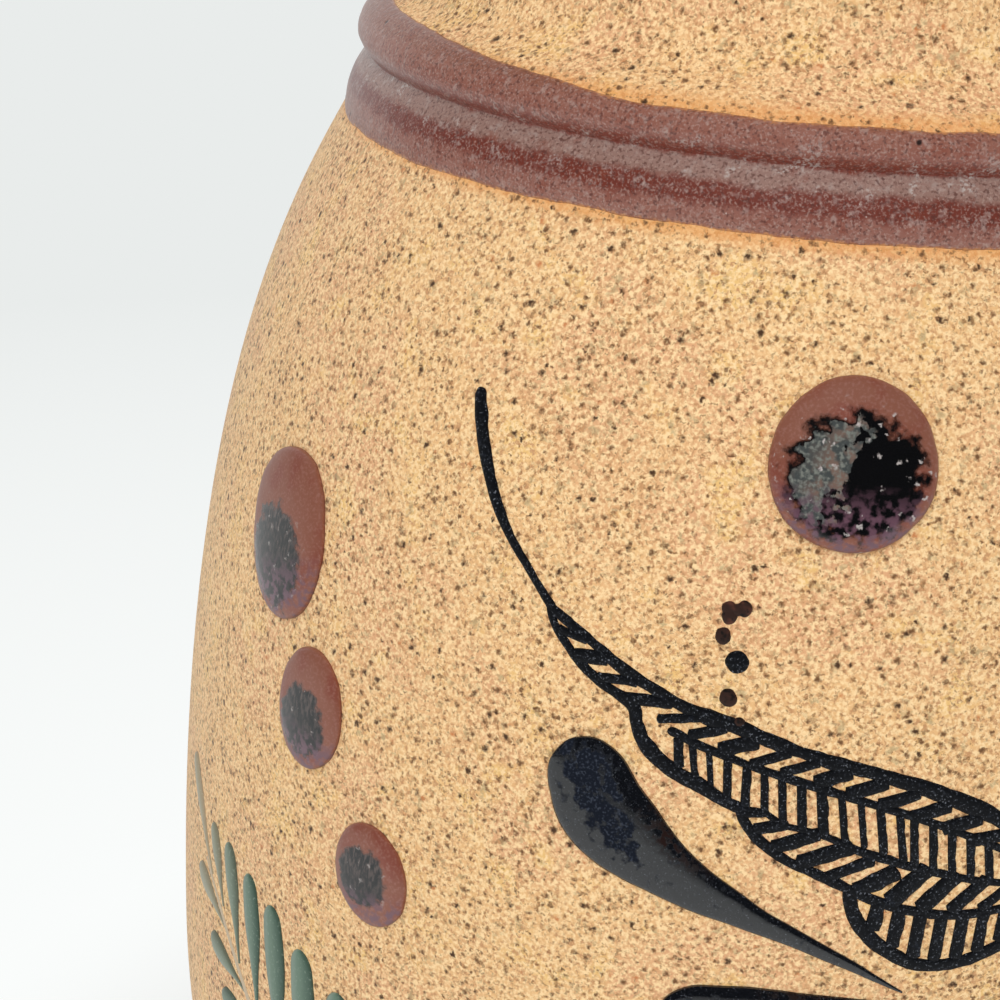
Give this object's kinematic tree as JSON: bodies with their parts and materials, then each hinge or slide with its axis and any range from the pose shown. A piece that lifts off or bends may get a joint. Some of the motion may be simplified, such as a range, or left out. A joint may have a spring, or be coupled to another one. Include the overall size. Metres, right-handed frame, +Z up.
{
  "type": "stoneware vase",
  "caption": "Thrown speckled stoneware vase with a ridged joint below a flared neck, a brown glaze band, raised glaze drops, black brushed leaves and green sprigs.",
  "frame": {"origin": "centre of the foot, on the surface that the vase stands on", "axes": "+Z up along the vase's axis, -Y towards the painted group that is seen first, +X to its right"},
  "size_m": [0.1576, 0.1575, 0.2462],
  "materials": {
    "clay": "matt speckled stoneware, bare and unburnished",
    "iron_glaze": "satin iron-brown glaze",
    "pooled_glaze": "glossy iron glaze, brown at its edge and black where it pools",
    "black_glaze": "glossy blue-black glaze",
    "green_slip": "satin grey-green slip",
    "liner_glaze": "glossy brown liner glaze"
  },
  "bodies": {
    "root": {"thrown_body": "clay", "thrown_neck": "clay", "ridge_glaze": "iron_glaze", "rim_glaze": "iron_glaze", "liner_glaze": "liner_glaze", "drop_large_1": "pooled_glaze", "drop_upper_1": "pooled_glaze", "drop_middle_1": "pooled_glaze", "drop_lower_1": "pooled_glaze", "brush_leaf_upper_1": "black_glaze", "brush_leaf_lower_1": "black_glaze", "sprig_1": "green_slip", "drop_large_2": "pooled_glaze", "drop_upper_2": "pooled_glaze", "drop_middle_2": "pooled_glaze", "drop_lower_2": "pooled_glaze", "brush_leaf_upper_2": "black_glaze", "brush_leaf_lower_2": "black_glaze", "sprig_2": "green_slip", "drop_large_3": "pooled_glaze", "drop_upper_3": "pooled_glaze", "drop_middle_3": "pooled_glaze", "drop_lower_3": "pooled_glaze", "brush_leaf_upper_3": "black_glaze", "brush_leaf_lower_3": "black_glaze", "sprig_3": "green_slip"}
  },
  "joints": []
}
